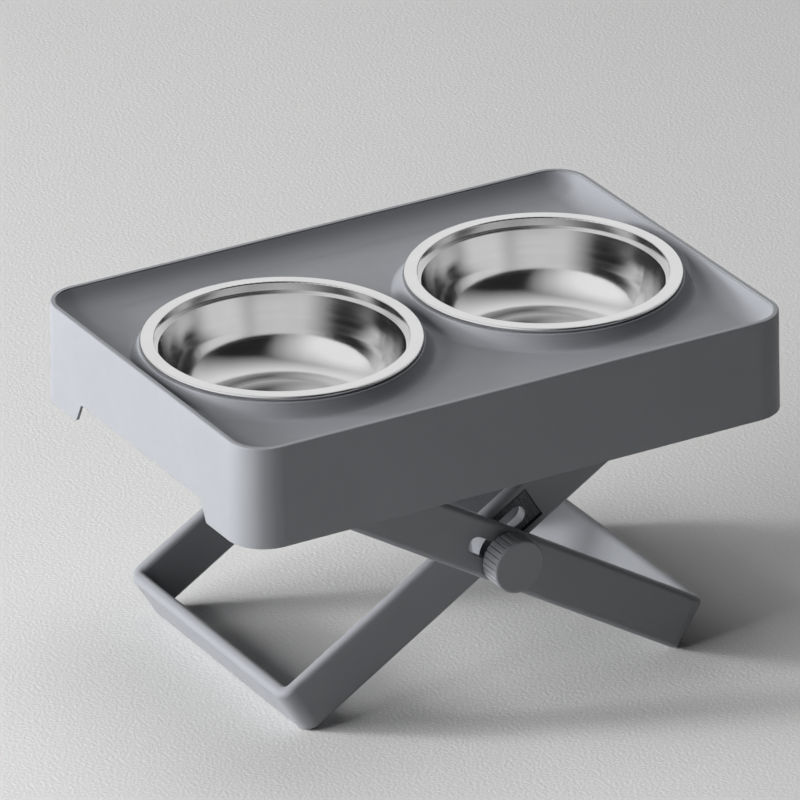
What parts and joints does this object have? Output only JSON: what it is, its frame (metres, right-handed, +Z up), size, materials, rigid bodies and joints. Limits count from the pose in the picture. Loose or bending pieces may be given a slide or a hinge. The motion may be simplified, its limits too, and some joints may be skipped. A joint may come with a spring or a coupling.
{
  "type": "dog feeder stand",
  "caption": "Raised dog feeder with a dished rectangular tray, lift-out round steel bowls and folding scissor legs that slide in slots and lock with side knobs.",
  "frame": {"origin": "on the floor under the middle of the tray, with the stand fully raised", "axes": "+X along the tray's long side, +Z up, -Y towards the side that faces the viewer in the picture"},
  "size_m": [0.4028, 0.2808, 0.2353],
  "materials": {
    "tray_plastic": "satin moulded plastic",
    "leg_plastic": "satin moulded plastic",
    "knob_plastic": "satin moulded plastic",
    "bracket_plastic": "moulded plastic",
    "bush_plastic": "black moulded plastic",
    "bowl_steel": "polished stainless steel",
    "hardware_steel": "plain zinc"
  },
  "bodies": {
    "tray": {"tray_shell": "tray_plastic", "bracket_outer_front": "bracket_plastic", "bracket_outer_rear": "bracket_plastic", "bracket_inner_front": "bracket_plastic", "bracket_inner_rear": "bracket_plastic", "pin_outer_front": "hardware_steel", "pin_outer_rear": "hardware_steel", "pin_inner_front": "hardware_steel", "pin_inner_rear": "hardware_steel", "ring_outer_front": "hardware_steel", "ring_outer_rear": "hardware_steel", "ring_inner_front": "hardware_steel", "ring_inner_rear": "hardware_steel"},
    "left_bowl": {"left_bowl": "bowl_steel"},
    "right_bowl": {"right_bowl": "bowl_steel"},
    "outer_leg": {"outer_leg": "leg_plastic"},
    "inner_leg": {"inner_leg": "leg_plastic"},
    "front_clamp": {"front_bolt": "hardware_steel", "front_inner_washer": "hardware_steel", "front_spacer": "leg_plastic", "front_slide_bush": "bush_plastic", "front_knob_washer": "hardware_steel"},
    "rear_clamp": {"rear_bolt": "hardware_steel", "rear_inner_washer": "hardware_steel", "rear_spacer": "leg_plastic", "rear_slide_bush": "bush_plastic", "rear_knob_washer": "hardware_steel"},
    "front_knob": {"front_knob": "knob_plastic"},
    "rear_knob": {"rear_knob": "knob_plastic"}
  },
  "joints": [
    {"name": "outer_fold", "type": "hinge", "parent": "tray", "child": "outer_leg", "pos_m": [-0.135, 0, 0.18502], "axis": [0, -1, 0], "range_deg": [0, 31.6]},
    {"name": "inner_fold", "type": "hinge", "parent": "tray", "child": "inner_leg", "pos_m": [0.135, 0, 0.18502], "axis": [0, 1, 0], "range_deg": [0, 31.6]},
    {"name": "front_clamp_slide", "type": "slide", "parent": "outer_leg", "child": "front_clamp", "axis": [-0.8517, 0, 0.524], "range_m": [0, 0.026]},
    {"name": "rear_clamp_slide", "type": "slide", "parent": "inner_leg", "child": "rear_clamp", "axis": [0.8517, 0, 0.524], "range_m": [0, 0.026]},
    {"name": "front_knob_turn", "type": "hinge", "parent": "front_clamp", "child": "front_knob", "pos_m": [0, -0.1247, 0.10197], "axis": [0, -1, 0], "range_deg": [0, 360]},
    {"name": "rear_knob_turn", "type": "hinge", "parent": "rear_clamp", "child": "rear_knob", "pos_m": [0, 0.1247, 0.10197], "axis": [0, 1, 0], "range_deg": [0, 360]},
    {"name": "left_bowl_lift", "type": "slide", "parent": "tray", "child": "left_bowl", "axis": [0, 0, 1], "range_m": [0, 0.07]},
    {"name": "right_bowl_lift", "type": "slide", "parent": "tray", "child": "right_bowl", "axis": [0, 0, 1], "range_m": [0, 0.07]}
  ],
  "couplings": [
    {"joint": "inner_fold", "follows": "outer_fold", "ratio": 1},
    {"joint": "front_clamp_slide", "follows": "outer_fold", "m_per_rad": 0.047145},
    {"joint": "rear_clamp_slide", "follows": "outer_fold", "m_per_rad": 0.047145}
  ]
}
